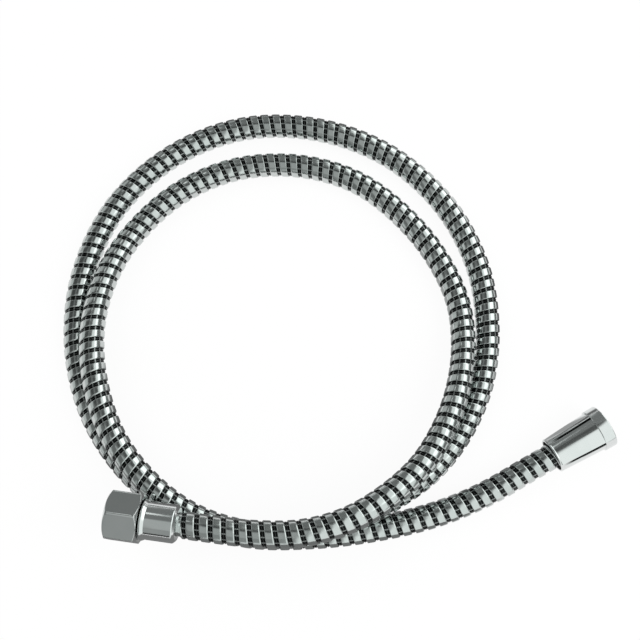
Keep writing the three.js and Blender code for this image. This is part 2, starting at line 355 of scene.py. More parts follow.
def startMaterial(name):
    material, tree = emptyMaterial(name)
    shader = put(tree, "ShaderNodeBsdfPrincipled")
    put(tree, "ShaderNodeOutputMaterial", {"Surface": shader.outputs["BSDF"]})
    return material, tree, shader


def marks(tree, surface, lineScale, smudgeScale):
    space = put(tree, "ShaderNodeTexCoord").outputs["Object"]
    feeds = {"Surface": surface, "Space": space, "Line scale": lineScale, "Smudge scale": smudgeScale}
    return put(tree, "ShaderNodeGroup", feeds, node_tree=fineMarks).outputs


def attribute(tree, name, output="Fac"):
    return put(tree, "ShaderNodeAttribute", attribute_name=name).outputs[output]


def mixColour(tree, factor, first, second, blend="MIX"):
    node = put(tree, "ShaderNodeMix", data_type="RGBA", blend_type=blend)
    for socket, value in ((0, factor), (6, first), (7, second)):
        if isinstance(value, bpy.types.NodeSocket):
            tree.links.new(value, node.inputs[socket])
        else:
            node.inputs[socket].default_value = value
    return node.outputs[2]


def ranged(tree, value, fromMin, fromMax, toMin, toMax):
    feeds = {"Value": value, "From Min": fromMin, "From Max": fromMax}
    feeds.update({"To Min": toMin, "To Max": toMax})
    return put(tree, "ShaderNodeMapRange", feeds).outputs["Result"]


def lineRoughness(tree, lines, look):
    return ranged(tree, lines, 0.3, 0.7, look["roughness"], look["roughness"] + look["lineRough"])


def addBump(tree, shader, height, look):
    feeds = {"Height": height, "Strength": look["bumpStrength"], "Distance": look["bumpHeight"]}
    bump = put(tree, "ShaderNodeBump", feeds).outputs["Normal"]
    tree.links.new(bump, shader.inputs["Normal"])


def metalMaterial(name):
    material, tree, shader = startMaterial(name)
    look = finishes[name]
    surface = put(tree, "ShaderNodeUVMap", uv_map="turnedUV").outputs["UV"]
    found = marks(tree, surface, look["lineScale"], look["smudgeScale"])
    colour = mixColour(tree, found["Smudges"], look["colour"], look["tint"])
    # Painted shade: the recessShade attribute darkens the colour in recesses and grooves
    colour = mixColour(tree, attribute(tree, "recessShade"), colour, paintedShadeColour)
    tree.links.new(colour, shader.inputs["Base Color"])
    rough = lineRoughness(tree, found["Lines"], look)
    smeared = ranged(tree, found["Smudges"], 0.0, 1.0, 0.0, look["smudgeRough"])
    tree.links.new(calc(tree, "ADD", rough, smeared), shader.inputs["Roughness"])
    addBump(tree, shader, found["Lines"], look)
    shader.inputs["Metallic"].default_value = 1.0
    return material


def softMaterial(name):
    material, tree, shader = startMaterial(name)
    look = finishes[name]
    space = put(tree, "ShaderNodeTexCoord").outputs["Object"]
    found = marks(tree, space, (look["grainScale"],) * 3, look["smudgeScale"])
    colour = mixColour(tree, found["Lines"], look["colour"], look["tint"])
    tree.links.new(colour, shader.inputs["Base Color"])
    roughest = look["roughness"] + look["smudgeRough"]
    rough = ranged(tree, found["Smudges"], 0.0, 1.0, look["roughness"], roughest)
    tree.links.new(rough, shader.inputs["Roughness"])
    addBump(tree, shader, found["Lines"], look)
    return material


def casingMaterial(name):
    # Chrome bands; the fold between them gets painted shade, darker the deeper it lies
    material, tree, shader = startMaterial(name)
    look = finishes[name]
    depth = attribute(tree, "foldDepth")
    found = marks(tree, attribute(tree, "hosePlace", "Vector"), look["lineScale"], look["smudgeScale"])
    bright = mixColour(tree, found["Smudges"], look["colour"], look["tint"])
    shade = ranged(tree, depth, *look["foldShadeDepths"], 0.0, 1.0)
    # The painted shade leaves a lighter tick down the middle of each rounded corner
    middle = calc(tree, "ABSOLUTE", calc(tree, "SUBTRACT", attribute(tree, "cornerSide"), 0.5))
    tick = ranged(tree, middle, *look["tickWidth"], look["tickLight"], 0.0)
    tick = calc(tree, "MULTIPLY", attribute(tree, "cornerStrip"), tick)
    shade = calc(tree, "MULTIPLY", shade, calc(tree, "SUBTRACT", 1.0, tick))
    colour = mixColour(tree, shade, bright, paintedShadeColour)
    tree.links.new(colour, shader.inputs["Base Color"])
    rough = lineRoughness(tree, found["Lines"], look)
    worn = ranged(tree, depth, *look["wornFolds"], 0.0, look["foldRough"])
    tree.links.new(calc(tree, "ADD", rough, worn), shader.inputs["Roughness"])
    addBump(tree, shader, found["Lines"], look)
    shader.inputs["Metallic"].default_value = 1.0
    return material


materials = {"casingChrome": casingMaterial("casingChrome")}
for name in ("fittingChrome", "turnedBrass"):
    materials[name] = metalMaterial(name)
for name in ("sealRubber", "linerRubber", "slidePlastic"):
    materials[name] = softMaterial(name)
print("materials made")

# Banded casing: one strip that winds along the hose and folds into itself
casing = {
    "radius": 0.00694,  # to the corners of its section
    "bore": 0.0056,
    "sides": 12,
    "cornerShare": 0.42,  # part of each side that its rounded corners take
    "pitch": 0.0065,
    "endMargin": 0.0005,
    "neckEnd": 0.0171,  # the first turn is drawn in, up to this place
    "neckRadius": 0.00575,
    "neckRise": 2.2,
    "neckWall": 0.0005,  # least metal between the neck and the bore
    "flatsFace": (-0.0075, -0.122, 0.497),  # the flat sides look to this point
    "foldBottom": 0.00085,
    "metalAround": 0.044,  # way round the hose, for the marks on the metal
    "mergeWithin": 0.000002,
    # Along one pitch: place as a share of it, and height over the corners in millimetres
    "profile": [
        (0.000, -0.85),
        (0.010, -0.34),
        (0.030, -0.10),
        (0.070, 0.00),
        (0.300, 0.00),
        (0.540, 0.00),
        (0.592, -0.05),
        (0.636, -0.17),
        (0.668, -0.40),
        (0.682, -0.85),
        (0.810, -0.85),
        (0.825, -0.60),
        (0.850, -0.60),
        (0.865, -0.85),
    ],
}


casingSizes = ("endMargin", "radius", "bore", "cornerShare", "neckEnd", "neckRadius", "neckRise")


def casingTree(settings):
    tree = newTree(
        "bandedCasing",
        "GeometryNodeTree",
        [
            ("Route", "Geometry"),
            ("Band profile", "Object"),
            ("Turns", "Int"),
            ("sides", "Int"),
            ("Pitch", "Float"),
            *[(size, "Float") for size in casingSizes],
            ("flatsFace", "Vector"),
            ("Metal", "Material"),
        ],
        [("Casing", "Geometry")],
    )

    def plus(first, second):
        return calc(tree, "ADD", first, second)

    def minus(first, second):
        return calc(tree, "SUBTRACT", first, second)

    def times(first, second):
        return calc(tree, "MULTIPLY", first, second)

    def shaped(kind, feeds, **kinds):
        return put(tree, "GeometryNode" + kind, feeds, **kinds).outputs["Geometry"]

    group = put(tree, "NodeGroupInput").outputs
    curve = put(tree, "GeometryNodeMeshToCurve", {"Mesh": group["Route"]}).outputs["Curve"]
    shape = put(tree, "GeometryNodeObjectInfo", {"Object": group["Band profile"]})
    shape = shape.outputs["Geometry"]
    size = put(tree, "GeometryNodeAttributeDomainSize", {"Geometry": shape}, component="MESH")
    profileCount = size.outputs["Point Count"]
    columns = times(group["sides"], 2.0)
    half = times(columns, 0.5)
    position = put(tree, "GeometryNodeInputPosition").outputs["Position"]
    gridPlace = put(tree, "ShaderNodeSeparateXYZ", {"Vector": position}).outputs

    # A column is one of the two corner edges of a side
    column = calc(tree, "ROUND", plus(gridPlace["Y"], half))
    side = calc(tree, "FLOOR", times(column, 0.5))
    second = calc(tree, "MODULO", column, 2.0)
    inset = times(group["cornerShare"], 0.5)
    reach = minus(0.5, inset)
    swing = times(minus(times(second, 2.0), 1.0), reach)
    turn = calc(tree, "DIVIDE", plus(side, swing), group["sides"])

    def stored(grid, name, value, kind, domain="POINT"):
        feeds = {"Geometry": grid, "Name": name, "Value": value}
        return shaped("StoreNamedAttribute", feeds, data_type=kind, domain=domain)

    def swept(rows, isBore):
        feeds = {"Size X": rows, "Size Y": columns}
        feeds["Vertices X"] = plus(rows, 1.0)
        feeds["Vertices Y"] = plus(columns, 1.0)
        grid = put(tree, "GeometryNodeMeshGrid", feeds).outputs["Mesh"]
        row = calc(tree, "ROUND", plus(gridPlace["X"], times(rows, 0.5)))
        if isBore:
            pitches = row
            height = minus(group["bore"], group["radius"])
        else:
            whole = calc(tree, "FLOOR", calc(tree, "DIVIDE", row, profileCount))
            index = minus(row, times(whole, profileCount))
            feeds = {"Geometry": shape, "Value": position, "Index": index}
            found = put(tree, "GeometryNodeSampleIndex", feeds, data_type="FLOAT_VECTOR", domain="POINT")
            found = put(tree, "ShaderNodeSeparateXYZ", {"Vector": found.outputs["Value"]}).outputs
            pitches = plus(whole, found["X"])
            height = found["Y"]
        windings = plus(pitches, turn)
        along = plus(group["endMargin"], times(group["Pitch"], windings))
        feeds = {"Curves": curve, "Length": along}
        sample = put(tree, "GeometryNodeSampleCurve", feeds, mode="LENGTH", use_all_curves=False)
        centre, tangent = sample.outputs["Position"], sample.outputs["Tangent"]
        ahead = vectorCalc(tree, "SUBTRACT", group["flatsFace"], centre)
        slope = vectorCalc(tree, "DOT_PRODUCT", ahead, tangent)
        ahead = vectorCalc(tree, "SUBTRACT", ahead, scaled(tree, tangent, slope))
        ahead = vectorCalc(tree, "NORMALIZE", ahead)
        aside = vectorCalc(tree, "CROSS_PRODUCT", tangent, ahead)
        past = calc(tree, "MAXIMUM", minus(along, group["neckEnd"]), 0.0)
        limit = plus(group["neckRadius"], times(past, group["neckRise"]))
        if isBore:
            limit = minus(limit, settings["neckWall"])
        radius = calc(tree, "MINIMUM", plus(group["radius"], height), limit)
        angle = times(turn, 2.0 * math.pi)
        outwards = vectorCalc(
            tree,
            "ADD",
            scaled(tree, ahead, calc(tree, "COSINE", angle)),
            scaled(tree, aside, calc(tree, "SINE", angle)),
        )
        place = vectorCalc(tree, "ADD", centre, scaled(tree, outwards, radius))
        around = times(turn, settings["metalAround"])
        hosePlace = put(tree, "ShaderNodeCombineXYZ", {0: along, 1: around}).outputs["Vector"]
        grid = stored(grid, "hosePlace", hosePlace, "FLOAT_VECTOR")
        odd = calc(tree, "MODULO", calc(tree, "FLOOR", plus(gridPlace["Y"], half)), 2.0)
        grid = stored(grid, "cornerStrip", odd, "FLOAT", "FACE")
        grid = stored(grid, "cornerSide", second, "FLOAT")
        fold = calc(tree, "DIVIDE", height, -settings["foldBottom"])
        grid = stored(grid, "foldDepth", fold, "FLOAT")
        feeds = {"Geometry": grid, "Position": place}
        return shaped("SetPosition", feeds)

    outside = swept(times(group["Turns"], profileCount), False)
    inside = swept(times(group["Turns"], 1.0), True)
    inside = put(tree, "GeometryNodeFlipFaces", {"Mesh": inside}).outputs["Mesh"]
    joined = put(tree, "GeometryNodeJoinGeometry")
    tree.links.new(inside, joined.inputs["Geometry"])
    tree.links.new(outside, joined.inputs["Geometry"])
    feeds = {"Geometry": joined.outputs["Geometry"], "Distance": settings["mergeWithin"]}
    whole = shaped("MergeByDistance", feeds)
    feeds = {"Geometry": whole, "Material": group["Metal"]}
    whole = shaped("SetMaterial", feeds)
    put(tree, "NodeGroupOutput", {"Casing": whole})
    return tree


def closeEnds(piece):
    # At both ends the strip's cut edge meets the bore's
    cell = bmesh.new()
    cell.from_mesh(piece.data)
    openEdges = [e for e in cell.edges if e.is_boundary]
    ends = [[], []]
    first, last = Vector(centreLine[0]), Vector(centreLine[-1])
    for edge in openEdges:
        middle = (edge.verts[0].co + edge.verts[1].co) / 2
        nearLast = (middle - last).length < (middle - first).length
        ends[nearLast].append(edge)
    for edges in ends:
        bmesh.ops.bridge_loops(cell, edges=edges)
    left = sum(e.is_boundary for e in cell.edges)
    if cell.calc_volume(signed=True) < 0:
        bmesh.ops.reverse_faces(cell, faces=cell.faces)
    print("casing", len(cell.faces), "faces,", left, "open edges, volume", cell.calc_volume())
    cell.to_mesh(piece.data)
    cell.free()


def makeCasing(settings):
    turns = int((hoseLength - 2 * settings["endMargin"]) / settings["pitch"]) - 1
    pitch = (hoseLength - 2 * settings["endMargin"]) / (turns + 1)
    spots = [(share, height * 0.001, 0.0) for share, height in settings["profile"]]
    profile = newObject("bandProfile", spots, [(i, i + 1) for i in range(len(spots) - 1)], [])
    count = len(centreLine)
    piece = newObject("hose_casing", centreLine, [(i, i + 1) for i in range(count - 1)], [])
    modifier = piece.modifiers.new("casing", "NODES")
    modifier.node_group = casingTree(settings)
    values = {key: settings[key] for key in ("sides", "flatsFace", *casingSizes)}
    values.update({"Band profile": profile, "Turns": turns, "Pitch": pitch})
    values["Metal"] = materials["casingChrome"]
    setInputs(modifier, values)
    plainMesh(piece)
    bpy.data.objects.remove(profile)
    closeEnds(piece)
    finishNormals(piece)
    return piece


hoseCasing = makeCasing(casing)
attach(hoseCasing, "hose")
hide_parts("outer_casing")
print("casing made")

# Places along an end's own axis, and radii, in millimetres
ends = {
    "shoulder": 0.3,
    "ferruleFront": 1.5,
    "ferruleTail": -11.5,
    "flangeBack": 9.5,
    "flangeFront": 11.4,
    "washerBack": 11.7,
    "washerFront": 13.9,
    "threadFoot": 14.2,
    "mouth": 20.8,
    "neckHole": 6.6,
    "washerSeat": 9.5,
    "threadR": 10.48,
    "threadCrest": 9.32,
    "threadPitch": 1.814,
}


def evenAngles(count):
    return [2 * math.pi * i / count for i in range(count)]


uvPerMetre = 10  # how fast the fittings' texture runs along their outline


def loftRing(name, matrix, angles, sections):
    # Sections go once round the piece's own section, from outside to inside, and close
    count = len(angles)
    angles = np.array(angles)
    points = []
    for place, radius in sections:
        u = np.broadcast_to(np.asarray(place, dtype=float), (count,)) * 0.001
        r = np.broadcast_to(np.asarray(radius, dtype=float), (count,)) * 0.001
        points.append(np.stack([r * np.cos(angles), r * np.sin(angles), u], axis=1))
    flat = np.concatenate(points)
    turned = flat @ np.array(matrix.to_3x3()).T + np.array(matrix.translation)
    rows = len(sections)
    faces = []
    for s in range(rows):
        n = (s + 1) % rows
        for i in range(count):
            j = (i + 1) % count
            faces.append((s * count + i, s * count + j, n * count + j, n * count + i))
    piece = newObject(name, turned, [], faces)
    # Round the axis, and along the section's outline
    steps = [0.0]
    for s in range(rows):
        a, b = points[s][0], points[(s + 1) % rows][0]
        steps.append(steps[-1] + float(np.linalg.norm(a - b)) * uvPerMetre)
    layer = piece.data.uv_layers.new(name="turnedUV")
    uv = []
    for s in range(rows):
        for i in range(count):
            a, b = i / count, (i + 1) / count
            uv += [a, steps[s], b, steps[s], b, steps[s + 1], a, steps[s + 1]]
    layer.data.foreach_set("uv", uv)
    cell = bmesh.new()
    cell.from_mesh(piece.data)
    bmesh.ops.recalc_face_normals(cell, faces=cell.faces)
    if cell.calc_volume(signed=True) < 0:
        bmesh.ops.reverse_faces(cell, faces=cell.faces)
    cell.to_mesh(piece.data)
    cell.free()
    return piece


# Painted shade: how dark the metal's colour is made where little light comes
recess = {"neck": 0.96, "ferrule": 0.97, "hollow": 0.9, "hollowEdge": 0.5}


def shadeRecess(piece, rows):
    # One row of painted shade for each section: 0 is open metal, 1 is fully darkened
    count = len(piece.data.vertices) // len(rows)
    values = np.concatenate([np.broadcast_to(np.asarray(row, dtype=float), (count,)) for row in rows])
    layer = piece.data.attributes.new("recessShade", "FLOAT", "POINT")
    layer.data.foreach_set("value", values)


def rounded(corners, steps=4, edgeShare=0.45):
    # Corners of (place, radius, rounding): each rounding becomes a small arc
    result = []
    count = len(corners)
    for i, (u, r, size) in enumerate(corners):
        here = np.array([u, r])
        if size <= 0:
            result.append((u, r))
            continue
        before = np.array(corners[i - 1][:2])
        after = np.array(corners[(i + 1) % count][:2])
        toBefore, toAfter = before - here, after - here
        reachBefore = min(size, edgeShare * np.linalg.norm(toBefore))
        reachAfter = min(size, edgeShare * np.linalg.norm(toAfter))
        p0 = here + toBefore / np.linalg.norm(toBefore) * reachBefore
        p2 = here + toAfter / np.linalg.norm(toAfter) * reachAfter
        for k in range(steps + 1):
            t = k / steps
            spot = (1 - t) ** 2 * p0 + 2 * t * (1 - t) * here + t * t * p2
            result.append((float(spot[0]), float(spot[1])))
    return result


socketForm = {
    "leadIn": 0.55,
    "threadRows": 52,
    "runIn": 1.6,  # the thread rises over this length
    "runOut": 0.25,
    "crestPower": 0.8,
    "edge": 0.15,
}


def socketSections(angles, webFront, webBack, tailR, tail):
    # From the mouth inwards: lead-in, thread, washer seat, web and the hollow behind it
    angles = np.array(angles)
    mouth, foot = ends["mouth"], ends["threadFoot"]
    deep, crest = ends["threadR"], ends["threadCrest"]
    start = mouth - socketForm["leadIn"]
    sections = [(mouth, deep + 0.44), (mouth - 0.12, deep + 0.32), (start, deep + 0.02)]
    rows = socketForm["threadRows"]
    for k in range(1, rows):
        u = start - (start - foot - socketForm["runOut"]) * k / rows
        wave = 0.5 - 0.5 * np.cos(2 * math.pi * u / ends["threadPitch"] - angles)
        leadIn = min(1.0, (start - u) / socketForm["runIn"])
        sections.append((u, deep - (deep - crest) * wave ** socketForm["crestPower"] * leadIn))
    seat = ends["washerSeat"]
    hole = ends["neckHole"]
    edge = socketForm["edge"]
    sections += [(foot + edge, deep - 0.1), (foot, deep - 0.25), (foot, seat + 0.1)]
    sections += [(foot - 0.1, seat), (webFront + edge, seat), (webFront, seat - edge)]
    sections += [(webFront, hole + edge), (webFront - edge, hole), (webBack + edge, hole)]
    sections.append((webBack, hole + edge))
    if tail is not None:
        sections += [(webBack, tailR - edge), (webBack - edge, tailR)]
        sections += [(tail + 0.5, tailR), (tail + 0.1, tailR + 0.08), (tail, tailR + 0.25)]
    return sections


# Hexagonal union nut
hexNut = {
    "flats": 24.0,
    "length": 17.2,
    "edgeRound": 1.6,
    "cornerReach": 0.0597,  # radians from a corner to where its rounding ends
    "rimR": 11.85,
    "chamferSlope": 0.62,
    "chamferShares": (0.3, 0.6, 0.86),
    "straight": 2.5,
    "turn": 3.0,
    "webFront": 9.2,
}


def hexAngles():
    spread = (-30, -24, -18, -12, -8, -5, -3.6, -2.7, -1.8, -0.9, 0)
    spread = spread + tuple(-a for a in spread[-2:0:-1])
    return [math.radians(60 * k + a) for k in range(6) for a in spread]


def makeHexNut(settings):
    angles = hexAngles()
    flatR = settings["flats"] / 2
    edge = settings["edgeRound"]
    centreR = (flatR - edge) / math.cos(math.pi / 6)
    outline = []
    for angle in angles:
        fromCorner = (angle + math.pi / 6) % (math.pi / 3) - math.pi / 6
        flat = flatR / math.cos(math.pi / 6 - abs(fromCorner))
        inside = edge**2 - (centreR * math.sin(fromCorner)) ** 2
        arc = centreR * math.cos(fromCorner) + math.sqrt(inside) if inside > 0 else flat
        outline.append(min(flat, arc) if abs(fromCorner) < settings["cornerReach"] else flat)
    outline = np.array(outline)
    rim = settings["rimR"]
    depth = (outline - rim) * settings["chamferSlope"]
    back, front = ends["mouth"] - settings["length"], ends["mouth"]
    half = [(0.02, rim - 0.12), (0.1, rim)]
    for share in settings["chamferShares"]:
        half.append((0.1 + depth * share, rim + (outline - rim) * share))
    half += [(0.13 + depth, outline - 0.03), (0.30 + depth, outline), (settings["straight"], outline)]
    sections = [(back, rim - 0.3)]
    sections += [(back + u, radius) for u, radius in half]
    sections.append(((back + front) / 2, outline))
    sections += [(front - u, radius) for u, radius in reversed(half)]
    sections.append((front, rim - 0.25))
    sections += socketSections(angles, settings["webFront"], back, 0, None)
    piece = loftRing("hex_nut_body", endMatrix(hexEnd, settings["turn"]), angles, sections)
    dress(piece, "fittingChrome")
    return piece


# Sleeve behind the hexagonal nut
sleeve = {
    "radius": 9.7,
    "front": 3.1,
    "tail": -15.0,
    "web": 1.3,
    "beadHeight": 0.75,
    "beadLength": 2.6,
    "beadFoot": 0.1,  # the bead starts this far under the surface
    "beadSteps": 16,
    "chamfer": 1.4,
    "tailLip": 1.3,
    "tailHole": 5.95,
    "seat": 8.5,
}


def makeSleeve(settings):
    radius, front, tail = settings["radius"], settings["front"], settings["tail"]
    hole = ends["neckHole"]
    corners = [
        (front - settings["web"], hole, 0.1),
        (front - settings["web"], settings["seat"], 0.1),
        (tail + settings["tailLip"], settings["seat"], 0.1),
        (tail + settings["tailLip"], settings["tailHole"], 0.1),
        (tail, settings["tailHole"], 0.15),
        (tail, radius - settings["chamfer"], 0.35),
        (tail + settings["chamfer"], radius, 0.45),
        (front - settings["beadLength"] - 0.35, radius, 0),
    ]
    outline = rounded(corners)
    steps, foot = settings["beadSteps"], settings["beadFoot"]
    for k in range(steps + 1):
        turn = k / steps * math.pi
        back = 0.5 + 0.5 * math.cos(turn)
        rise = math.sin(math.pi * math.sqrt(back))
        u = front - settings["beadLength"] * back
        outline.append((u, radius - foot + (settings["beadHeight"] + foot) * rise))
    outline += [(front, radius - 1.0), (front, hole + 0.15), (front - 0.12, hole)]
    piece = loftRing("hex_sleeve_body", endMatrix(hexEnd), evenAngles(96), outline)
    dress(piece, "fittingChrome")
    return piece


# Conical union nut
coneNut = {
    "collarR": 11.76,
    "collarLength": 6.6,
    "collarStep": 0.5,
    "length": 33.4,
    "tailR": 9.6,
    "webFront": 7.9,
    "webBack": 5.5,
    "bore": 8.5,
    "panels": 4,
    "panelFlat": 0.35,
    "grooveWidth": 1.5,
    "grooveDepth": 0.75,
    "grooveRunOut": 1.8,
    "runPower": 0.6,  # how the grooves deepen from the tail on
    "wallWidth": 0.28,
    "wallOut": 0.12,  # the walls begin this far outside the grooves
    # How the painted shade along the grooves grows across their walls and from the tail on
    "grooveShadeWall": 1.8,
    "grooveShadeRun": 5.0,
    "rows": 26,
    "turn": 49.0,
    "lip": 0.9,
    "lipProud": 0.15,
}


def coneAngles(settings):
    # Close together at the grooves
    spread = [-5.1, -4.6, -4.0, -3.5, -2.9, 0, 2.9, 3.5, 4.0, 4.6, 5.1]
    spread += [6.5, 9, 13, 18, 23, 29, 35, 40, 45]
    spread += [90 - a for a in spread[-2:10:-1]]
    sectors = range(settings["panels"])
    return [math.radians(k * 360 / settings["panels"] + a) for k in sectors for a in spread]


def makeConeNut(settings):
    angles = coneAngles(settings)
    mouth = ends["mouth"]
    collarBack = mouth - settings["collarLength"]
    tail = mouth - settings["length"]
    broadR = settings["collarR"] - settings["collarStep"]
    span = collarBack - tail
    sector = 2 * math.pi / settings["panels"]
    fromGroove = (np.array(angles) + sector / 2) % sector - sector / 2
    across = np.abs(fromGroove) / (sector / 2)

    def outlineAt(u):
        share = (u - tail) / span
        base = settings["tailR"] + (broadR - settings["tailR"]) * share
        base = base - settings["panelFlat"] * share * (1 - (1 - across) ** 2)
        sideways = np.abs(fromGroove) * base
        half = settings["grooveWidth"] / 2
        wall = np.clip((half + settings["wallOut"] - sideways) / settings["wallWidth"], 0, 1)
        wall = wall * wall * (3 - 2 * wall)
        run = max(0.0, (u - tail - settings["grooveRunOut"]) / (span - settings["grooveRunOut"]))
        depth = settings["grooveDepth"] * run ** settings["runPower"]
        # Painted shade along the grooves, full on their walls and fading out towards the tail
        dark = np.minimum(1.0, settings["grooveShadeWall"] * wall) * min(1.0, settings["grooveShadeRun"] * run)
        return base - depth * wall, dark

    lipR = settings["tailR"] + settings["lipProud"]
    sections = [(tail, lipR - 0.5), (tail + 0.06, lipR - 0.25), (tail + 0.2, lipR - 0.08)]
    sections += [(tail + 0.45, lipR), (tail + settings["lip"] - 0.1, lipR)]
    shades = [0.0] * len(sections)
    behindLip, shadeBehindLip = outlineAt(tail + settings["lip"])
    sections.append((tail + settings["lip"] + 0.05, behindLip - 0.02))
    shades.append(shadeBehindLip)
    firstU = tail + settings["lip"] + 0.3
    steps = settings["rows"]
    for k in range(steps):
        u = firstU + (collarBack - 0.02 - firstU) * k / (steps - 1)
        outline, dark = outlineAt(u)
        sections.append((u, outline))
        shades.append(dark)
    collarR = settings["collarR"]
    corners = [(collarBack, collarR - 0.3), (collarBack + 0.03, collarR - 0.12)]
    corners += [(collarBack + 0.12, collarR - 0.03), (collarBack + 0.3, collarR)]
    corners += [((collarBack + mouth) / 2, collarR), (mouth - 0.5, collarR)]
    corners += [(mouth - 0.25, collarR - 0.05), (mouth - 0.08, collarR - 0.2), (mouth, collarR - 0.4)]
    sections += corners
    shades += [0.0] * len(corners)
    socket = socketSections(
        angles, settings["webFront"], settings["webBack"], settings["bore"], tail
    )
    sections += socket
    # Painted shade in the bore behind the web, half as dark at the tail's edge
    shades += [0.0] * (len(socket) - 5) + [recess["hollow"]] * 4 + [recess["hollowEdge"]]
    piece = loftRing("cone_nut_body", endMatrix(coneEnd, settings["turn"]), angles, sections)
    shadeRecess(piece, shades)
    dress(piece, "fittingChrome")
    return piece


# Inserts that both ends hide: nipple, ferrule, washer and slide ring
inserts = {
    "flangeR": 9.0,
    "neckR": 6.3,
    "bore": 2.1,
    "stemR": 2.9,
    "barbR": 3.4,
    "barbs": 3,
    "barbPitch": 3.4,
    "barbPeak": 0.75,  # share of the pitch
    "barbFoot": 0.85,
    "stem": 12.0,
    "ferruleBore": 7.3,
    "ferruleR": 8.2,
    "crimps": 3,
    "crimpStart": 2.6,
    "crimpPitch": 3.1,
    "crimpDepth": 0.28,
    "washerHole": 5.6,
    "washerR": 9.2,
    "ringBack": 8.2,
    "ringFront": 9.2,
}


def makeNipple(name, end, settings):
    bore, stem = settings["bore"], settings["stemR"]
    corners = [(-settings["stem"], bore, 0.1)]
    for k in range(settings["barbs"]):
        root = -settings["stem"] + k * settings["barbPitch"]
        corners.append((root, stem, 0.1))
        corners.append((root + settings["barbPeak"] * settings["barbPitch"], settings["barbR"], 0.12))
        corners.append((root + settings["barbFoot"] * settings["barbPitch"], stem, 0.08))
    corners += [
        (ends["shoulder"], stem, 0.1),
        (ends["shoulder"], settings["neckR"], 0.2),
        (ends["flangeBack"], settings["neckR"], 0.15),
        (ends["flangeBack"], settings["flangeR"], 0.3),
        (ends["flangeFront"], settings["flangeR"], 0.35),
        (ends["flangeFront"], bore, 0.5),
    ]
    sections = rounded(corners)
    piece = loftRing(name, endMatrix(end), evenAngles(64), sections)
    # Painted shade: only the neck, which lies in the gap between the nut and the sleeve, is darkened
    inGap = [stem < radius < settings["neckR"] + 0.1 for place, radius in sections]
    onNeck = [place > ends["shoulder"] - 0.1 for place, radius in sections]
    shadeRecess(piece, [recess["neck"] * (gap and neck) for gap, neck in zip(inGap, onNeck)])
    return piece


def makeRing(name, end, outline):
    return loftRing(name, endMatrix(end), evenAngles(72), rounded(outline))


def ferruleOutline(settings):
    front, tail = ends["ferruleFront"], ends["ferruleTail"]
    bore, radius = settings["ferruleBore"], settings["ferruleR"]
    corners = [
        (ends["shoulder"], ends["neckHole"], 0.1),
        (ends["shoulder"], bore, 0.1),
        (tail, bore, 0.1),
        (tail, radius, 0.2),
    ]
    for k in range(settings["crimps"]):
        at = tail + settings["crimpStart"] + settings["crimpPitch"] * k
        low = radius - settings["crimpDepth"]
        corners += [(at, radius, 0.25), (at + 0.5, low, 0.25)]
        corners += [(at + 1.1, low, 0.25), (at + 1.6, radius, 0.25)]
    corners += [(front, radius, 0.4), (front, ends["neckHole"], 0.1)]
    return corners


def bandOutline(inner, outer, back, front, edge):
    return [(back, inner, edge), (back, outer, edge), (front, outer, edge), (front, inner, edge)]


def makeInserts(settings):
    washer = bandOutline(
        settings["washerHole"], settings["washerR"], ends["washerBack"], ends["washerFront"], 0.35
    )
    ring = bandOutline(
        ends["neckHole"], settings["washerR"], settings["ringBack"], settings["ringFront"], 0.2
    )
    made = []
    for prefix, end, nutBody in (("hex", hexEnd, "hex_nut"), ("cone", coneEnd, "cone_nut")):
        nipple = makeNipple(prefix + "_nipple_body", end, settings)
        ferrule = makeRing(prefix + "_ferrule_body", end, ferruleOutline(settings))
        # Painted shade: the whole ferrule is darkened nearly to black
        shadeRecess(ferrule, [recess["ferrule"]])
        seal = makeRing(prefix + "_washer_body", end, washer)
        made.append((nipple, "hose", prefix + "_end_nipple", "insert_brass", "turnedBrass"))
        made.append((ferrule, "hose", prefix + "_end_ferrule", "insert_brass", "turnedBrass"))
        made.append((seal, nutBody, prefix + "_end_washer", "seal_rubber", "sealRubber"))
    slider = makeRing("cone_slide_body", coneEnd, ring)
    made.append((slider, "hose", "cone_slide_ring", "slide_plastic", "slidePlastic"))
    for piece, body, node, slot, finish in made:
        dress(piece, finish)
        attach(piece, body)
        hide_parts(node)
    return {row[0].name: row[0] for row in made}


hexNutBody = makeHexNut(hexNut)
sleeveBody = makeSleeve(sleeve)
coneNutBody = makeConeNut(coneNut)
for piece, body, node in (
    (hexNutBody, "hex_nut", "hex_union_nut"),
    (sleeveBody, "hose", "hex_end_sleeve"),
    (coneNutBody, "cone_nut", "conical_nut"),
):
    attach(piece, body)
    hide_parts(node)
insertBodies = makeInserts(inserts)
print("fittings made")

# The rubber tube stays as it is, in its own material
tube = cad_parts["inner_tube"]
for place in tube.material_slots:
    place.link = "OBJECT"
    place.material = materials["linerRubber"]

print("tube material set")
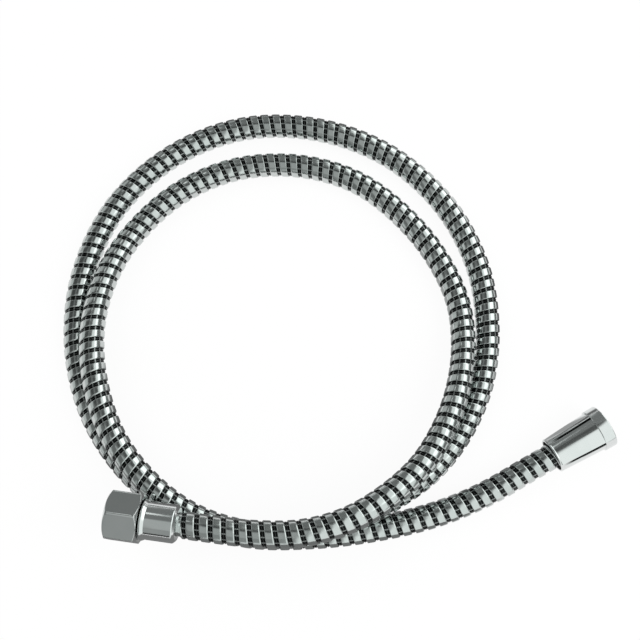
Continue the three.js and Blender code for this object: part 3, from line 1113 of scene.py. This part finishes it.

# Studio: white floor and background, soft lamps, a tent that only reflections see, and a sheet of
# painted shade under the hose that only reflections see
studio = {
    "floorSize": 6.0,
    "tentRadius": 1.6,
    "tentLevel": 0.20,
    "tentLeast": 0.01,
    "tentColour": (0.955, 1.0, 0.985, 1.0),
    "boardRadius": 0.6,
    "boardHeight": 0.00002,
    "boardLevel": 0.95,
    "floorColour": (0.9, 0.9, 0.9, 1.0),
    "floorGlow": 0.93,
    "worldLight": 0.75,
    # Name, place, size and power
    "lamps": [
        ("softRight", (0.9, -0.3, 1.1), 1.0, 9.0),
        ("softLeft", (-0.8, 0.5, 1.2), 1.0, 5.0),
    ],
    # Light and dark panels of the tent: left, right, bottom and top as slopes of a mirror
    # that shows them to the camera, then the width of their soft edge, and their level
    "panels": [
        (0.060, 0.60, -1.30, 0.60, 0.045, 0.85),
        (0.30, 0.60, -0.02, 0.60, 0.06, 0.80),
        (0.12, 0.60, 0.56, 0.95, 0.05, 1.50),
        (-1.20, -0.56, -0.70, 0.40, 0.05, 0.50),
        (-0.95, -0.38, 0.42, 0.80, 0.05, 0.35),
        (-0.54, -0.25, 0.10, 0.45, 0.05, -0.12),
        (-0.09, 0.07, 0.14, 0.34, 0.03, -0.11),
        (0.040, 0.085, 0.140, 0.50, 0.012, -0.35),
        (-0.24, 0.025, -0.30, 0.16, 0.03, 0.27),
        (-0.31, 0.12, -0.95, -0.31, 0.03, 0.14),
        (-0.16, 0.03, -1.10, -0.58, 0.04, 0.45),
        (-1.20, -0.205, 0.98, 1.70, 0.03, 0.30),
        (-0.22, -0.148, 0.42, 0.525, 0.010, 0.90),
        (-0.40, -0.25, -0.82, -0.62, 0.02, -0.60),
    ],
    # The same for the sheet's painted shade patches, with their sides in metres from the middle
    "shadePatches": [
        (-0.50, 0.105, -0.50, -0.118, 0.010, -0.72),
        (0.088, 0.140, -0.020, 0.085, 0.010, -0.80),
        (-0.50, 0.088, 0.120, 0.50, 0.010, -0.77),
        (-0.15, 0.06, -0.105, -0.020, 0.015, -0.77),
        (0.03, 0.062, -0.020, 0.06, 0.010, -0.45),
        (0.110, 0.131, -0.062, -0.024, 0.003, -0.55),
        (0.062, 0.106, -0.090, -0.022, 0.006, -0.72),
    ],
}
panelSides = ("Left", "Right", "Bottom", "Top", "Edge", "Level")


def panelGroup():
    inputs = [("Across", "Float"), ("Up", "Float")]
    inputs += [(side, "Float") for side in panelSides]
    tree = newTree("softPanel", "ShaderNodeTree", inputs, [("Light", "Float")])
    group = put(tree, "NodeGroupInput").outputs
    light = group["Level"]
    for place, low, high in (("Across", "Left", "Right"), ("Up", "Bottom", "Top")):
        for limit, rising in ((low, True), (high, False)):
            offset = calc(tree, "SUBTRACT", group[place], group[limit])
            if not rising:
                offset = calc(tree, "MULTIPLY", offset, -1.0)
            share = calc(tree, "DIVIDE", offset, group["Edge"])
            feeds = {"Value": share, "From Min": -1.0, "From Max": 1.0}
            step = put(tree, "ShaderNodeMapRange", feeds, interpolation_type="SMOOTHSTEP")
            light = calc(tree, "MULTIPLY", light, step.outputs["Result"])
    put(tree, "NodeGroupOutput", {"Light": light})
    return tree


softPanel = panelGroup()


def lightOnlyMaterial(name):
    material, tree = emptyMaterial(name)
    glow = put(tree, "ShaderNodeEmission")
    put(tree, "ShaderNodeOutputMaterial", {"Surface": glow.outputs["Emission"]})
    return material, tree, glow


def panelSum(tree, across, up, panels, level):
    total = level
    for values in panels:
        feeds = {"Across": across, "Up": up, **dict(zip(panelSides, values))}
        node = put(tree, "ShaderNodeGroup", feeds, node_tree=softPanel)
        total = calc(tree, "ADD", node.outputs["Light"], total)
    return total


def tentMaterial(settings):
    material, tree, glow = lightOnlyMaterial("tentCloth")
    tilt = math.radians(cameraView["tilt"])
    space = put(tree, "ShaderNodeTexCoord").outputs["Object"]
    ahead = vectorCalc(tree, "NORMALIZE", space)
    across = vectorCalc(tree, "DOT_PRODUCT", ahead, (1.0, 0.0, 0.0))
    up = vectorCalc(tree, "DOT_PRODUCT", ahead, (0.0, math.cos(tilt), math.sin(tilt)))
    out = vectorCalc(tree, "DOT_PRODUCT", ahead, (0.0, -math.sin(tilt), math.cos(tilt)))
    spread = calc(tree, "MAXIMUM", calc(tree, "ADD", out, 1.0), 0.02)
    across = calc(tree, "DIVIDE", across, spread)
    up = calc(tree, "DIVIDE", up, spread)
    total = panelSum(tree, across, up, settings["panels"], settings["tentLevel"])
    total = calc(tree, "MAXIMUM", total, settings["tentLeast"])
    tree.links.new(total, glow.inputs["Strength"])
    glow.inputs["Color"].default_value = settings["tentColour"]
    return material


def onlyInReflections(thing):
    for ray in ("camera", "diffuse", "transmission", "volume_scatter", "shadow"):
        setattr(thing, "visible_" + ray, False)


def makeTent(settings):
    tent = newObject("studio_tent", [], [], [])
    cell = bmesh.new()
    bmesh.ops.create_uvsphere(cell, u_segments=64, v_segments=32, radius=settings["tentRadius"])
    bmesh.ops.reverse_faces(cell, faces=cell.faces)
    cell.to_mesh(tent.data)
    cell.free()
    tent.data.materials.append(tentMaterial(settings))
    onlyInReflections(tent)


def makeReflectedShadeBoard(settings):
    # Painted shade: a disc just over the floor, seen only in reflections, darkens what the chrome shows
    # of the floor, most in patches near the hose
    count = 64
    radius, height = settings["boardRadius"], settings["boardHeight"]
    rim = [(radius * math.cos(a), radius * math.sin(a), height) for a in evenAngles(count)]
    board = newObject("grey_board", rim, [], [tuple(range(count))])
    material, tree, glow = lightOnlyMaterial("greyBoard")
    space = put(tree, "ShaderNodeTexCoord").outputs["Object"]
    place = put(tree, "ShaderNodeSeparateXYZ", {"Vector": space}).outputs
    level = panelSum(tree, place["X"], place["Y"], settings["shadePatches"], settings["boardLevel"])
    tree.links.new(level, glow.inputs["Strength"])
    board.data.materials.append(material)
    onlyInReflections(board)


def seenRays(tree):
    # Camera, glossy and transmission rays
    rays = put(tree, "ShaderNodeLightPath").outputs
    seen = calc(tree, "MAXIMUM", rays["Is Camera Ray"], rays["Is Glossy Ray"])
    return calc(tree, "MAXIMUM", seen, rays["Is Transmission Ray"])


def makeFloor(settings):
    half = settings["floorSize"] / 2
    corners = [(-half, -half, 0), (half, -half, 0), (half, half, 0), (-half, half, 0)]
    floor = newObject("studio_floor", corners, [], [(0, 1, 2, 3)])
    material, tree = emptyMaterial("paleFloor")
    paper = put(tree, "ShaderNodeBsdfDiffuse", {"Color": settings["floorColour"]})
    glow = put(tree, "ShaderNodeEmission", {"Strength": 1.0})
    share = calc(tree, "MULTIPLY", seenRays(tree), settings["floorGlow"])
    mixed = put(tree, "ShaderNodeMixShader", {0: share})
    tree.links.new(paper.outputs["BSDF"], mixed.inputs[1])
    tree.links.new(glow.outputs["Emission"], mixed.inputs[2])
    put(tree, "ShaderNodeOutputMaterial", {"Surface": mixed.outputs["Shader"]})
    floor.data.materials.append(material)


def makeWorld(settings):
    world = bpy.data.worlds.new("studioWorld")
    bpy.context.scene.world = world
    world.use_nodes = True
    tree = world.node_tree
    tree.nodes.clear()
    level = ranged(tree, seenRays(tree), 0.0, 1.0, settings["worldLight"], 1.0)
    back = put(tree, "ShaderNodeBackground", {"Strength": level})
    back.inputs["Color"].default_value = (1.0, 1.0, 1.0, 1.0)
    put(tree, "ShaderNodeOutputWorld", {"Surface": back.outputs["Background"]})


def makeLamp(name, place, size, power):
    data = bpy.data.lights.new(name, "AREA")
    data.size = size
    data.energy = power
    lamp = bpy.data.objects.new(name, data)
    bpy.context.scene.collection.objects.link(lamp)
    lamp.location = place
    lamp.rotation_euler = (-Vector(place)).to_track_quat("-Z", "Y").to_euler()
    lamp.visible_glossy = False


makeFloor(studio)
makeTent(studio)
makeReflectedShadeBoard(studio)
makeWorld(studio)
for lampValues in studio["lamps"]:
    makeLamp(*lampValues)
bpy.context.scene.view_settings.view_transform = "Standard"
print("studio made")
